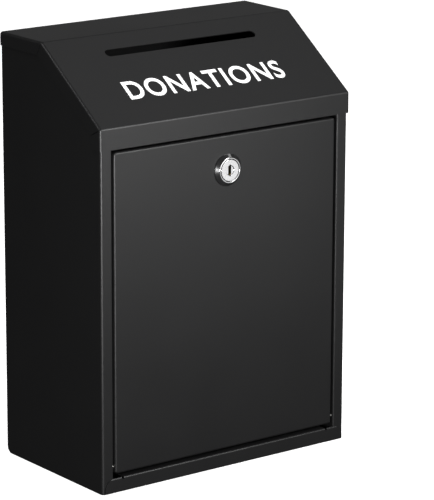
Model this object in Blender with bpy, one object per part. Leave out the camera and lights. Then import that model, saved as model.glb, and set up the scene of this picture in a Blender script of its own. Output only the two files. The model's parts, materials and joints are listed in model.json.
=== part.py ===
"""Steel donation box: a folded sheet cabinet with a sloping hood, a drop-down door and a cam lock.

Metres, +Z up. X is the width, -Y the front, +Y the wall side. The origin is on the surface that
the box stands on, under the middle of its whole depth, the lock's bezel included.
"""
import math

import bmesh
import bpy
from mathutils import Matrix, Vector

MM = 0.001

# The cabinet
WIDTH = 220 * MM
DEPTH = 122 * MM                    # from the hood's front face to the back
HEIGHT = 312 * MM
SHEET = 0.8 * MM
GAP = 0.3 * MM                      # left between pieces that touch
FOLD = 2.2 * MM                     # outside radius of a visible fold
TIGHT_FOLD = 1.2 * MM
EDGE_BELOW_HOOD = 1.8 * MM          # the side's cut edge clears the inside of the hood's folds
FOLD_STEPS = 4

# The hood, with its slot
TOP_DEPTH = 51.4 * MM               # from the back to the upper fold
LIP_TOP = 262.2 * MM                # the lower fold
LIP_BOTTOM = 246.8 * MM
TOP_FLAP = 9.8 * MM
SLOPE_FLAP = 11 * MM
LIP_FLAP = 11 * MM
SLOT_LENGTH = 132 * MM
SLOT_WIDTH = 6.7 * MM
SLOT_FROM_FOLD = 18.3 * MM          # centre of the slot, down the slope

# The doorway, its frame and the door
STILE = 9.5 * MM
JAMB = 12 * MM
RAIL_TOP = 10.9 * MM
RAIL_RETURN = 7 * MM
TAB_INSET = 3 * MM                  # from the hood's side to the end of the rail
TAB_RADIUS = 8 * MM
RELIEF_X = 92 * MM                  # relief cuts at the ends of the rail's return
RELIEF = 1.6 * MM
DOOR_SIDE_GAP = 1.7 * MM
DOOR_BOTTOM = 13.2 * MM
DOOR_TOP = 244.7 * MM
DOOR_DEPTH = 12.4 * MM
DOOR_EDGE = 1.8 * MM                # fold round the door's face
DOOR_CORNER = 2.5 * MM
HEADER_TOP = 256 * MM
HEADER_DROP = 8.9 * MM              # the strike behind the door's top edge

# The back and the floor
REAR_FOLD = 5 * MM
WELD_FLANGE = 8 * MM
TOP_FLANGE = 12 * MM
FLANGE_END = 12 * MM                # from the top, the bottom or the back to a flange's end
WALL_HOLE_RADIUS = 2.75 * MM
WALL_HOLE_X = 70 * MM
WALL_HOLE_Z = 262 * MM

# The hinge
HINGE_Z = 18.6 * MM
HINGE_DEPTH = 3.2 * MM              # behind the door's face
PIN_RADIUS = 1.2 * MM

# The lock, measured inwards from the door's face
LOCK_Z = 219.5 * MM
BEZEL_RADIUS = 11.65 * MM
BEZEL_PROUD = 3.2 * MM
BARREL_RADIUS = 9.3 * MM
BARREL_FLAT = 8.1 * MM
BARREL_END = 14.4 * MM
STOP_STEP = 13 * MM                 # floor of the quarter cutaway in the barrel's end
STOP_EDGE = 1.8 * MM                # from the axis to where the cutaway stops the lug
LUG_HALF = 1.5 * MM
LUG_REACH = 8 * MM
PLUG_HEAD_RADIUS = 7.8 * MM
PLUG_RADIUS = 6.2 * MM
PLUG_HEAD_BACK = -1.4 * MM
SHANK_END = 16 * MM
SHANK_HALF = 3.5 * MM
SHANK_ROOT = 2.2 * MM               # how far the shank is joined into the plug
KEYWAY_HEIGHT = 8.8 * MM
KEYWAY_WIDTH = 2 * MM
KEYWAY_END = 10.4 * MM
KEY_RECESS_RADIUS = 3.5 * MM
KEY_RECESS = 0.6 * MM
WAFERS = 5
WAFER_PITCH = 2.25 * MM
WAFER_FIRST = 0.9 * MM
WAFER_SIZE = (7 * MM, 0.9 * MM, 10 * MM)
WAFER_WINDOW = (2.6 * MM, 6.8 * MM)
CAM_START = 14.7 * MM
CAM_THICKNESS = 1.6 * MM
CAM_REACH = 33 * MM
CAM_HUB_RADIUS = 9 * MM
CAM_TIP_RADIUS = 6 * MM
SCREW_RADIUS = 1.9 * MM
ROUND_STEPS = 40

# Worked out from the above
BACK_Y = (DEPTH + BEZEL_PROUD - SHEET - GAP) / 2
FRONT_Y = BACK_Y - DEPTH            # hood's front face, and the rail's
FACE_Y = FRONT_Y + SHEET + GAP      # stiles and door
BODY_HALF = WIDTH / 2 - SHEET - GAP
INSIDE_HALF = BODY_HALF - SHEET - GAP
DOORWAY_HALF = BODY_HALF - STILE
DOOR_HALF = DOORWAY_HALF - DOOR_SIDE_GAP
UNDER_HOOD = HEIGHT - SHEET - GAP
HINGE_Y = FACE_Y + HINGE_DEPTH
HEADER_BOTTOM = LIP_BOTTOM + 0.1 * MM
STRIKE_Y = FACE_Y + DOOR_DEPTH + GAP
FAR = 20 * MM                       # how far a cutter runs past what it cuts

# The hood's outline from the side, as (y, z), from the back to the bottom of the lip
HOOD_LINE = [
    (BACK_Y, HEIGHT),
    (BACK_Y - TOP_DEPTH, HEIGHT),
    (FRONT_Y, LIP_TOP),
    (FRONT_Y, LIP_BOTTOM),
]


# Materials and bookkeeping

def make_material(name, colour, roughness, metallic):
    material = bpy.data.materials.new(name)
    material.use_nodes = True
    shader = material.node_tree.nodes["Principled BSDF"]
    shader.inputs["Base Color"].default_value = (*colour, 1)
    shader.inputs["Roughness"].default_value = roughness
    shader.inputs["Metallic"].default_value = metallic
    return material


def add_object(name, bm, material=None, location=(0, 0, 0), parent=None):
    """Turn a bmesh into a smooth-shaded object, with its faces pointing out."""
    bmesh.ops.recalc_face_normals(bm, faces=bm.faces)
    mesh = bpy.data.meshes.new(name)
    bm.to_mesh(mesh)
    bm.free()
    mesh.shade_smooth()
    mesh.set_sharp_from_angle(angle=math.radians(30))
    if material:
        mesh.materials.append(material)
    obj = bpy.data.objects.new(name, mesh)
    bpy.context.collection.objects.link(obj)
    obj.location = location
    obj.parent = parent
    return obj


def add_empty(name, location, parent=None):
    empty = bpy.data.objects.new(name, None)
    bpy.context.collection.objects.link(empty)
    empty.location = location
    empty.parent = parent
    return empty


def boolean(target, tool, operation="DIFFERENCE"):
    """Cut the tool from the target, or join it on. The tool shares the target's parent."""
    tool.hide_render = True
    tool.display_type = "WIRE"
    tool.parent = target.parent
    modifier = target.modifiers.new(tool.name, "BOOLEAN")
    modifier.operation = operation
    modifier.object = tool


# Flat outlines

def arc(centre, radius, start, end, steps):
    """Points along an arc, with angles in degrees."""
    points = []
    for step in range(steps + 1):
        angle = math.radians(start + (end - start) * step / steps)
        points.append((centre[0] + radius * math.cos(angle), centre[1] + radius * math.sin(angle)))
    return points


def inset(line, distances):
    """Shift each straight of an open line to its left, and meet them again at the corners."""
    shifted = []
    for (a, b), distance in zip(zip(line, line[1:]), distances):
        along = (Vector(b) - Vector(a)).normalized()
        side = Vector((-along.y, along.x)) * distance
        shifted.append((Vector(a) + side, Vector(b) + side, along))
    points = [tuple(shifted[0][0])]
    for (start, _, along), (other, _, turn) in zip(shifted, shifted[1:]):
        reach = (other - start).cross(turn) / along.cross(turn)
        points.append(tuple(start + along * reach))
    points.append(tuple(shifted[-1][1]))
    return points


def folded_section(line, radii):
    """Both faces of a folded sheet. The line follows its outer face, which is on the left."""
    directions = [(Vector(b) - Vector(a)).normalized() for a, b in zip(line, line[1:])]
    lefts = [Vector((-d.y, d.x)) for d in directions]
    outer = [Vector(line[0])]
    normals = [lefts[0]]
    for corner, radius, before, after, left in zip(line[1:-1], radii, directions, directions[1:], lefts):
        turn = math.atan2(before.cross(after), before.dot(after))
        on_line = radius if turn < 0 else radius - SHEET
        tangent = on_line * math.tan(abs(turn) / 2)
        start = Vector(corner) - before * tangent
        side = -1 if turn < 0 else 1
        centre = start + left * on_line * side
        for step in range(FOLD_STEPS + 1):
            normal = left.copy()
            normal.rotate(Matrix.Rotation(turn * step / FOLD_STEPS, 2))
            outer.append(centre - normal * on_line * side)
            normals.append(normal)
    outer.append(Vector(line[-1]))
    normals.append(lefts[-1])
    inner = [point - normal * SHEET for point, normal in zip(outer, normals)]
    return outer, inner


def double_d(radius, flat):
    """A circle with a flat on its left and right."""
    corner = math.degrees(math.acos(flat / radius))
    steps = ROUND_STEPS // 4
    top = arc((0, 0), radius, corner, 180 - corner, steps)
    return top + arc((0, 0), radius, 180 + corner, 360 - corner, steps)


def stadium(length, width):
    half = (length - width) / 2
    right = arc((half, 0), width / 2, -90, 90, 10)
    return right + arc((-half, 0), width / 2, 90, 270, 10)


def tapered_bar(big, small, reach):
    """A bar with round ends: the big one round the origin, the small one at -X."""
    lean = math.degrees(math.asin((big - small) / reach))
    hub = arc((0, 0), big, -90 - lean, 90 + lean, 14)
    return hub + arc((-reach, 0), small, 90 + lean, 270 - lean, 8)


def corner_waste(corner, radius, side):
    """What is cut away to round a corner, with side as the (x, y) signs that point out of it."""
    cx, cy = corner[0] - side[0] * radius, corner[1] - side[1] * radius
    edge = [(cx + side[0] * radius * math.cos(a), cy + side[1] * radius * math.sin(a))
            for a in (math.radians(90) * step / 6 for step in range(7))]
    far_x, far_y = corner[0] + side[0] * FAR, corner[1] + side[1] * FAR
    return edge + [(cx, far_y), (far_x, far_y), (far_x, cy)]


# Solids

def place(axis, first, second, along):
    """A point of an outline drawn across an axis."""
    return {"X": (along, first, second), "Y": (first, along, second), "Z": (first, second, along)}[axis]


def prism(outline, axis, start, end):
    """Extrude an outline along an axis."""
    bm = bmesh.new()
    base = bm.faces.new([bm.verts.new(place(axis, u, v, start)) for u, v in outline])
    grown = bmesh.ops.extrude_face_region(bm, geom=[base])
    top = [item for item in grown["geom"] if isinstance(item, bmesh.types.BMVert)]
    bmesh.ops.translate(bm, verts=top, vec=Vector(place(axis, 0, 0, end - start)))
    return bm


def box(low, high):
    bm = bmesh.new()
    centre = (Vector(low) + Vector(high)) / 2
    size = Vector(high) - Vector(low)
    bmesh.ops.create_cube(bm, size=1, matrix=Matrix.Translation(centre) @ Matrix.Diagonal((*size, 1)))
    return bm


def folded_sheet(line, radii, axis, start, end):
    """A folded sheet, drawn as its section and extruded along an axis."""
    outer, inner = folded_section(line, radii)
    bm = bmesh.new()
    cap = []
    rows = [[bm.verts.new(place(axis, *point, start)) for point in side] for side in (outer, inner)]
    for i in range(len(outer) - 1):
        cap.append(bm.faces.new((rows[0][i], rows[0][i + 1], rows[1][i + 1], rows[1][i])))
    grown = bmesh.ops.extrude_face_region(bm, geom=cap)
    top = [item for item in grown["geom"] if isinstance(item, bmesh.types.BMVert)]
    bmesh.ops.translate(bm, verts=top, vec=Vector(place(axis, 0, 0, end - start)))
    return bm


def turned(profile, axis, steps=ROUND_STEPS):
    """Turn a closed outline of (radius, distance along the axis) points about an axis."""
    bm = bmesh.new()
    points = [bm.verts.new(place(axis, radius, 0, along)) for radius, along in profile]
    edges = [bm.edges.new(pair) for pair in zip(points, points[1:] + points[:1])]
    turn = Vector(place(axis, 0, 0, 1))
    bmesh.ops.spin(bm, geom=points + edges, cent=(0, 0, 0), axis=turn, angle=math.tau,
                   steps=steps, use_merge=True)
    bmesh.ops.remove_doubles(bm, verts=bm.verts, dist=1e-7)
    on_axis = [edge for edge in bm.edges if not edge.link_faces]
    bmesh.ops.delete(bm, geom=on_axis, context="EDGES")
    return bm


def rod(radius, axis, start, end, steps=ROUND_STEPS):
    return prism(arc((0, 0), radius, 0, 360 * (steps - 1) / steps, steps - 1), axis, start, end)


def bevel_by_weight(obj, width, weigh):
    """Round the edges that the function weigh gives a weight above 0."""
    bm = bmesh.new()
    bm.from_mesh(obj.data)
    layer = bm.edges.layers.float.new("bevel_weight_edge")
    for edge in bm.edges:
        edge[layer] = weigh(*(vert.co for vert in edge.verts))
    bm.to_mesh(obj.data)
    bm.free()
    bevel = obj.modifiers.new("folds", "BEVEL")
    bevel.limit_method = "WEIGHT"
    bevel.width = width
    bevel.segments = FOLD_STEPS


def near(a, b):
    return abs(a - b) < 1e-6


# The cabinet

def hood_block(name, sheet, overhang, material=None):
    """The hood's space as a solid, inset by the sheet and run past its open sides."""
    line = inset(HOOD_LINE, [sheet] * 3) if sheet else list(HOOD_LINE)
    (back, top), upper, lower, (front, bottom) = line
    back += overhang
    bottom -= overhang
    half = WIDTH / 2 - sheet
    outline = [(back, top), upper, lower, (front, bottom), (back, bottom)]
    block = add_object(name, prism(outline, "X", -half, half), material)
    slope = math.atan2(upper[1] - lower[1], upper[0] - lower[0])
    across = {upper: math.tan(slope / 2), lower: math.tan((math.pi / 2 - slope) / 2)}

    def weigh(a, b):
        if near(a.y, back) and near(b.y, back) or near(a.z, bottom) and near(b.z, bottom):
            return 0
        if near(a.x, b.x):
            return 1
        return next((w for (y, z), w in across.items() if near(a.y, y) and near(a.z, z)), 0)

    bevel_by_weight(block, FOLD - sheet, weigh)
    return block


def make_hood(paint):
    hood = hood_block("hood", 0, 0, paint)
    boolean(hood, hood_block("hood_inside", SHEET, FAR))
    flaps = inset(HOOD_LINE, [TOP_FLAP, SLOPE_FLAP, LIP_FLAP])
    (back, top), upper, lower, (front, bottom) = flaps
    waste = [(back + FAR, top), upper, lower, (front, bottom - FAR), (back + FAR, bottom - FAR)]
    half = WIDTH / 2 + FAR
    boolean(hood, add_object("below_flaps", prism(waste, "X", -half, half)))
    down = (Vector(HOOD_LINE[2]) - Vector(HOOD_LINE[1])).normalized()
    y, z = Vector(HOOD_LINE[1]) + down * SLOT_FROM_FOLD
    slot = add_object("slot_cutter", prism(stadium(SLOT_LENGTH, SLOT_WIDTH), "Z", -FAR / 2, FAR / 2))
    slot.location = (0, y, z)
    slot.rotation_euler.x = math.atan2(down.y, down.x) - math.pi
    boolean(hood, slot)


def make_side_panel(name, side, paint):
    """One sheet: jamb, stile and side. Its top follows the hood from just inside it."""
    plan = [
        (-DOORWAY_HALF, FACE_Y + JAMB),
        (-DOORWAY_HALF, FACE_Y),
        (-BODY_HALF, FACE_Y),
        (-BODY_HALF, BACK_Y),
    ]
    bm = folded_sheet(plan, [TIGHT_FOLD, FOLD], "Z", 0, UNDER_HOOD)
    bmesh.ops.scale(bm, vec=(-side, 1, 1), verts=bm.verts)
    panel = add_object(name, bm, paint)
    (_, top), upper, lower, _ = inset(HOOD_LINE, [EDGE_BELOW_HOOD] * 3)
    slope = (Vector(lower) - Vector(upper)).normalized() * FAR
    front = tuple(Vector(lower) + slope)
    above = [(BACK_Y + FAR, top + FAR), (front[0], top + FAR), front, upper, (BACK_Y + FAR, top)]
    low, high = sorted((side * (DOORWAY_HALF - FAR), side * (BODY_HALF + FAR)))
    boolean(panel, add_object(name + "_above", prism(above, "X", low, high)))
    corner = corner_waste((BACK_Y, 0), REAR_FOLD, (1, -1))
    boolean(panel, add_object(name + "_corner", prism(corner, "X", low, high)))
    jamb_low, jamb_high = sorted((side * (DOORWAY_HALF - SHEET), side * (DOORWAY_HALF + 2 * SHEET)))
    pin_hole = rod(PIN_RADIUS + GAP, "X", jamb_low, jamb_high, 24)
    boolean(panel, add_object(name + "_pin_hole", pin_hole, location=(0, HINGE_Y, HINGE_Z)))


def make_back_and_floor(paint):
    """One long sheet: a flange under the hood, the back, the floor and the front rail."""
    line = [
        (BACK_Y - TOP_FLANGE, UNDER_HOOD),
        (BACK_Y, UNDER_HOOD),
        (BACK_Y, 0),
        (FRONT_Y, 0),
        (FRONT_Y, RAIL_TOP),
        (FRONT_Y + RAIL_RETURN, RAIL_TOP),
    ]
    radii = [TIGHT_FOLD, REAR_FOLD, TIGHT_FOLD, TIGHT_FOLD]
    panel = add_object("back_and_floor", folded_sheet(line, radii, "X", -INSIDE_HALF, INSIDE_HALF), paint)
    behind_rail = FRONT_Y + SHEET
    tab_end = WIDTH / 2 - TAB_INSET
    jamb_back = FACE_Y + JAMB + GAP
    for side, label in ((-1, "left"), (1, "right")):
        def piece(name, x0, x1, low, high):
            near_x, far_x = sorted((side * x0, side * x1))
            return add_object(label + name, box((near_x, *low), (far_x, *high)))

        web = INSIDE_HALF - SHEET
        boolean(panel, piece("_back_flange", web, INSIDE_HALF, (BACK_Y - WELD_FLANGE, FLANGE_END),
                             (BACK_Y - SHEET / 2, HEIGHT - FLANGE_END)), "UNION")
        boolean(panel, piece("_floor_flange", web, INSIDE_HALF, (jamb_back + 2 * SHEET, SHEET / 2),
                             (BACK_Y - FLANGE_END, WELD_FLANGE)), "UNION")
        boolean(panel, piece("_jamb_notch", DOORWAY_HALF - GAP, WIDTH,
                             (behind_rail, -FAR), (jamb_back, RAIL_TOP / 2)))
        boolean(panel, piece("_return_end", RELIEF_X - RELIEF / 2, WIDTH,
                             (behind_rail, RAIL_TOP / 2), (jamb_back, RAIL_TOP + FAR)))
        boolean(panel, piece("_tab_end", tab_end, WIDTH,
                             (FRONT_Y - FAR, -FAR), (behind_rail + GAP / 2, RAIL_TOP + FAR)))
        boolean(panel, piece("_relief", RELIEF_X - RELIEF / 2, RELIEF_X + RELIEF / 2,
                             (FRONT_Y - FAR, RAIL_TOP - RELIEF), (jamb_back, RAIL_TOP + FAR)))
        waste = corner_waste((side * tab_end, RAIL_TOP), TAB_RADIUS, (side, 1))
        boolean(panel, add_object(label + "_tab_corner",
                                  prism(waste, "Y", FRONT_Y - FAR, behind_rail + GAP / 2)))
        hole = rod(WALL_HOLE_RADIUS, "Y", -FAR, FAR, 24)
        boolean(panel, add_object(label + "_wall_hole", hole,
                                  location=(side * WALL_HOLE_X, BACK_Y, WALL_HOLE_Z)))


def make_header(paint):
    """The strip across the top of the doorway: the door closes on its strike, the cam hooks it."""
    line = [
        (STRIKE_Y, HEADER_BOTTOM - HEADER_DROP),
        (STRIKE_Y, HEADER_BOTTOM),
        (FACE_Y, HEADER_BOTTOM),
        (FACE_Y, HEADER_TOP),
    ]
    half = DOORWAY_HALF - GAP
    add_object("door_header", folded_sheet(line, [TIGHT_FOLD, TIGHT_FOLD], "X", -half, half), paint)


def make_hinge_pin(name, side, steel):
    """A rivet from the stile into the door's side: head inside the door, tail behind the jamb."""
    head = DOOR_HALF - SHEET - GAP
    tail = DOORWAY_HALF + SHEET + GAP
    profile = [
        (0, head - 1.2 * MM),
        (1.3 * MM, head - 1.2 * MM),
        (1.8 * MM, head - 0.7 * MM),
        (1.8 * MM, head),
        (PIN_RADIUS, head),
        (PIN_RADIUS, tail),
        (2 * MM, tail),
        (1.6 * MM, tail + 0.8 * MM),
        (0, tail + 0.8 * MM),
    ]
    bm = turned([(radius, side * along) for radius, along in profile], "X", 20)
    add_object(name, bm, steel, location=(0, HINGE_Y, HINGE_Z))


# The door

def door_block(name, sheet, depth, material, hinge):
    """The door's space as a solid, inset by the sheet, with its face's edges rounded."""
    low = Vector((-DOOR_HALF + sheet, FACE_Y + sheet, DOOR_BOTTOM + sheet))
    high = Vector((DOOR_HALF - sheet, FACE_Y + depth, DOOR_TOP - sheet))
    origin = Vector((0, HINGE_Y, HINGE_Z))
    block = add_object(name, box(low - origin, high - origin), material, parent=hinge)
    front = low.y - origin.y
    edge = (DOOR_EDGE - sheet) / (DOOR_CORNER - sheet)

    def weigh(a, b):
        if near(a.y, front) and near(b.y, front):
            return edge
        return 0 if near(a.y, b.y) else 1

    bevel_by_weight(block, DOOR_CORNER - sheet, weigh)
    return block


def make_door(hinge, paint):
    door = door_block("door_panel", 0, DOOR_DEPTH, paint, hinge)
    boolean(door, door_block("door_inside", SHEET, DOOR_DEPTH + FAR, None, hinge))
    boolean(door, add_object("pin_holes", rod(PIN_RADIUS + GAP, "X", -WIDTH, WIDTH, 24)))
    hole = prism(double_d(BARREL_RADIUS + GAP, BARREL_FLAT + GAP), "Y", -FAR, FAR / 2)
    boolean(door, add_object("lock_hole", hole, location=(0, -HINGE_DEPTH, LOCK_Z - HINGE_Z)))


# The lock. Its pieces are drawn about the lock's axis, with y = 0 at the door's face.

def make_housing(lock, chrome):
    front = -BEZEL_PROUD
    bore = PLUG_RADIUS + GAP
    seat = PLUG_HEAD_RADIUS + GAP
    profile = [
        (bore, BARREL_END),
        (bore, PLUG_HEAD_BACK + GAP),
        (seat, PLUG_HEAD_BACK + GAP),
        (seat, front + 0.2 * MM),
        (seat + 0.2 * MM, front),
        (BARREL_RADIUS - 0.2 * MM, front),
        (BARREL_RADIUS + 0.1 * MM, front + 0.2 * MM),
        (BEZEL_RADIUS - 0.15 * MM, -0.9 * MM),
        (BEZEL_RADIUS, -0.6 * MM),
        (BEZEL_RADIUS, -GAP),
        (BARREL_RADIUS, -GAP),
        (BARREL_RADIUS, BARREL_END),
    ]
    housing = add_object("lock_housing", turned(profile, "Y", 64), chrome, parent=lock)
    for side, label in ((-1, "left"), (1, "right")):
        near_x, far_x = sorted((side * BARREL_FLAT, side * FAR))
        flat = box((near_x, -GAP, -FAR), (far_x, FAR, FAR))
        boolean(housing, add_object(label + "_flat", flat))
    half_x = WAFER_SIZE[0] / 2 + GAP
    groove = PLUG_RADIUS + 1.4 * MM
    grooves = box((-half_x, 0, -groove), (half_x, KEYWAY_END + 0.8 * MM, groove))
    boolean(housing, add_object("wafer_grooves", grooves))
    quarter = box((-FAR, STOP_STEP, -FAR), (STOP_EDGE, BARREL_END + FAR, STOP_EDGE))
    boolean(housing, add_object("quarter_turn", quarter))


def make_plug(core, chrome):
    head_front = -BEZEL_PROUD + 0.1 * MM
    recess_floor = head_front + KEY_RECESS
    profile = [
        (0, recess_floor),
        (KEY_RECESS_RADIUS, recess_floor),
        (KEY_RECESS_RADIUS, head_front),
        (PLUG_HEAD_RADIUS - 0.2 * MM, head_front),
        (PLUG_HEAD_RADIUS, head_front + 0.2 * MM),
        (PLUG_HEAD_RADIUS, PLUG_HEAD_BACK),
        (PLUG_RADIUS, PLUG_HEAD_BACK),
        (PLUG_RADIUS, STOP_STEP),
        (0, STOP_STEP),
    ]
    plug = add_object("lock_plug", turned(profile, "Y", 48), chrome, parent=core)
    shank = box((-SHANK_HALF, STOP_STEP - SHANK_ROOT, -SHANK_HALF), (SHANK_HALF, SHANK_END, SHANK_HALF))
    boolean(plug, add_object("shank", shank), "UNION")
    half_w, half_h = KEYWAY_WIDTH / 2, KEYWAY_HEIGHT / 2
    shoulder = half_h - half_w
    keyway = [(half_w, -shoulder), (half_w, shoulder), (0, half_h),
              (-half_w, shoulder), (-half_w, -shoulder), (0, -half_h)]
    boolean(plug, add_object("keyway", prism(keyway, "Y", -FAR, KEYWAY_END)))
    for index in range(WAFERS):
        y = WAFER_FIRST + index * WAFER_PITCH
        half_y = WAFER_SIZE[1] / 2 + GAP
        half_x = WAFER_SIZE[0] / 2 + GAP
        slot = box((-half_x, y - half_y, -FAR), (half_x, y + half_y, FAR))
        boolean(plug, add_object(f"wafer_slot_{index + 1}", slot))
    screw_hole = rod(SCREW_RADIUS + GAP, "Y", KEYWAY_END + 0.9 * MM, FAR, 20)
    boolean(plug, add_object("screw_hole", screw_hole))


def make_wafers(core, brass):
    """The flat tumblers, as a key holds them: drawn in, clear of the housing."""
    size_x, size_y, size_z = WAFER_SIZE
    window_x, window_z = WAFER_WINDOW
    for index in range(WAFERS):
        name = f"wafer_{index + 1}"
        plate = box((-size_x / 2, -size_y / 2, -size_z / 2), (size_x / 2, size_y / 2, size_z / 2))
        wafer = add_object(name, plate, brass, (0, WAFER_FIRST + index * WAFER_PITCH, 0), core)
        window = box((-window_x / 2, -FAR, -window_z / 2), (window_x / 2, FAR, window_z / 2))
        boolean(wafer, add_object(name + "_window", window, location=wafer.location))


def make_lock_washer(lock, steel):
    """A toothed washer between the door and the nut."""
    start = SHEET + GAP
    teeth = 18
    outline = []
    for index in range(teeth * 2):
        radius = (12.2 if index % 2 else 11) * MM
        outline += arc((0, 0), radius, (index - 0.3) * 180 / teeth, (index + 0.3) * 180 / teeth, 1)
    washer = add_object("lock_washer", prism(outline, "Y", start, start + SHEET), steel, parent=lock)
    boolean(washer, add_object("washer_hole", rod(BARREL_RADIUS + GAP, "Y", -FAR, FAR)))


def make_nut(lock, steel):
    start = 2 * SHEET + 2 * GAP
    across_flats = 22 * MM
    corner = across_flats / 2 / math.cos(math.radians(30))
    hexagon = arc((0, 0), corner, 0, 300, 5)
    nut = add_object("lock_nut", prism(hexagon, "Y", start, start + 4.5 * MM), steel, parent=lock)
    boolean(nut, add_object("nut_thread", rod(BARREL_RADIUS + GAP, "Y", -FAR, FAR)))


def square_hole(name):
    half = SHANK_HALF + GAP
    return add_object(name, box((-half, -FAR, -half), (half, 2 * FAR, half)))


def make_stop_washer(core, steel):
    """Rides on the square shank: its lug stops at both ends of the barrel's cutaway."""
    start = STOP_STEP + GAP
    end = BARREL_END - 0.1 * MM
    washer = add_object("stop_washer", rod(PLUG_RADIUS, "Y", start, end), steel, parent=core)
    lug = box((-LUG_HALF, start, -LUG_REACH), (LUG_HALF, end, -SHANK_HALF - SHEET))
    boolean(washer, add_object("stop_lug", lug), "UNION")
    boolean(washer, square_hole("stop_square"))


def make_cam(core, steel):
    outline = tapered_bar(CAM_HUB_RADIUS, CAM_TIP_RADIUS, CAM_REACH - CAM_TIP_RADIUS)
    plate = prism(outline, "Y", CAM_START, CAM_START + CAM_THICKNESS)
    cam = add_object("cam_latch", plate, steel, parent=core)
    boolean(cam, square_hole("cam_square"))


def make_cam_fixings(core, steel):
    start = CAM_START + CAM_THICKNESS + GAP
    washer_end = start + 0.8 * MM
    hole = SCREW_RADIUS + GAP
    ring = [(hole, start), (6.5 * MM, start), (6.5 * MM, washer_end), (hole, washer_end)]
    add_object("cam_washer", turned(ring, "Y", 32), steel, parent=core)
    under_head = washer_end + GAP
    head_top = under_head + 2.6 * MM
    profile = [
        (0, KEYWAY_END + 1.2 * MM),
        (SCREW_RADIUS - 0.4 * MM, KEYWAY_END + 1.2 * MM),
        (SCREW_RADIUS, KEYWAY_END + 1.7 * MM),
        (SCREW_RADIUS, under_head),
        (4 * MM, under_head),
        (4 * MM, under_head + 1.2 * MM),
        (3.2 * MM, under_head + 2.1 * MM),
        (1.8 * MM, head_top),
        (0, head_top),
    ]
    screw = add_object("cam_screw", turned(profile, "Y", 28), steel, parent=core)
    for name, x, z in (("cross_a", 2.2 * MM, 0.5 * MM), ("cross_b", 0.5 * MM, 2.2 * MM)):
        slot = box((-x, head_top - 1.5 * MM, -z), (x, head_top + FAR, z))
        boolean(screw, add_object(name, slot))


def main():
    for obj in list(bpy.data.objects):
        bpy.data.objects.remove(obj)

    paint = make_material("black_powder_coat", (0.02, 0.02, 0.021), 0.4, 0.0)
    chrome = make_material("chrome", (0.8, 0.8, 0.82), 0.1, 1.0)
    zinc = make_material("zinc_plate", (0.62, 0.62, 0.6), 0.35, 1.0)
    brass = make_material("brass", (0.72, 0.55, 0.25), 0.3, 1.0)

    make_hood(paint)
    make_side_panel("left_side_panel", -1, paint)
    make_side_panel("right_side_panel", 1, paint)
    make_back_and_floor(paint)
    make_header(paint)
    make_hinge_pin("hinge_pin_left", -1, zinc)
    make_hinge_pin("hinge_pin_right", 1, zinc)

    hinge = add_empty("door_hinge", (0, HINGE_Y, HINGE_Z))
    make_door(hinge, paint)
    lock = add_empty("lock_axis", (0, -HINGE_DEPTH, LOCK_Z - HINGE_Z), hinge)
    make_housing(lock, chrome)
    make_lock_washer(lock, zinc)
    make_nut(lock, zinc)
    core = add_empty("lock_turn", (0, 0, 0), lock)
    make_plug(core, chrome)
    make_wafers(core, brass)
    make_stop_washer(core, zinc)
    make_cam(core, zinc)
    make_cam_fixings(core, zinc)


main()
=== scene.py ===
# %% [markdown]
# # A sheet-steel donation box
# This lesson dresses a working design of a wall-mounted donation box: a folded hood with a slot,
# two sides, one strip for back, floor and front rail, a drop-down door, and a cam lock.
# The design gives every place and size. The pieces that show are made again here, finer, and
# each one rides on the body of the design that it belongs to.

import json
import math

import bmesh
import bpy
from mathutils import Matrix, Vector

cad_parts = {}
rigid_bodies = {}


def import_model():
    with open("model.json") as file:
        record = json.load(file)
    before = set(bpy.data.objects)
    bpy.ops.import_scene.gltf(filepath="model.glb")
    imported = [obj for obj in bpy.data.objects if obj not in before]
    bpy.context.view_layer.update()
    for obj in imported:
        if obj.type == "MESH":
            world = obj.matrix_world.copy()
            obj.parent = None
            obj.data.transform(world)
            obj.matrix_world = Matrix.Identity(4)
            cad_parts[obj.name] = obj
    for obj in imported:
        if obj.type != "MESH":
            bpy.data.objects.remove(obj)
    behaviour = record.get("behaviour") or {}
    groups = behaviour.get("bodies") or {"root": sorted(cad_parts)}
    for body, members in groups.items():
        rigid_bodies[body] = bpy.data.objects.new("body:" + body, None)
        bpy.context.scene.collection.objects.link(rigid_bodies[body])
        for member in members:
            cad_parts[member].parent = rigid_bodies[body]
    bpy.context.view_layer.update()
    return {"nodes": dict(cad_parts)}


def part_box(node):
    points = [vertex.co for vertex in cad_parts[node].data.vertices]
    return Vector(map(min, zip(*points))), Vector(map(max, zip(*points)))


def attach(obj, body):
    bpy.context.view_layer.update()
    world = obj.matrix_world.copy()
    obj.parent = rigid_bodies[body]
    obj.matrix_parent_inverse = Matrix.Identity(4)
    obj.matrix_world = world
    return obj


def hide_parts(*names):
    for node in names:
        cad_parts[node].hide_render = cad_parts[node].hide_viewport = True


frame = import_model()

# %% [markdown]
# ## Sizes
# The outside sizes are read from the design. What a box round a piece can't tell, such as the
# thickness of the sheet or the radius of a fold, is written here once, in metres.

# %% Sizes
MM = 0.001
SHEET = 0.8 * MM
FOLD = 2.2 * MM                # outside radius of a fold that shows
TIGHT = 1.2 * MM               # and of one that doesn't
FLAP = 11 * MM                 # how far the hood's flaps reach down over the side
TOP_FLAP = 9.8 * MM            # and below the flat top
CLEAR = 0.3 * MM               # between neighbouring pieces

hood_low, hood_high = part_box("hood")
side_low, side_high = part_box("left_side_panel")
strip_low, strip_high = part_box("back_and_floor")
door_low, door_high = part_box("door_panel")
lock_low, lock_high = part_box("lock_housing")
BACK, FRONT, TOP = strip_high.y, hood_low.y, hood_high.z
UPPER_FOLD = (BACK - 51.4 * MM, TOP)                # as (y, z)
LOWER_FOLD = (FRONT, hood_low.z + 15.4 * MM)
print("hood from", hood_low, "to", hood_high)

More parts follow.
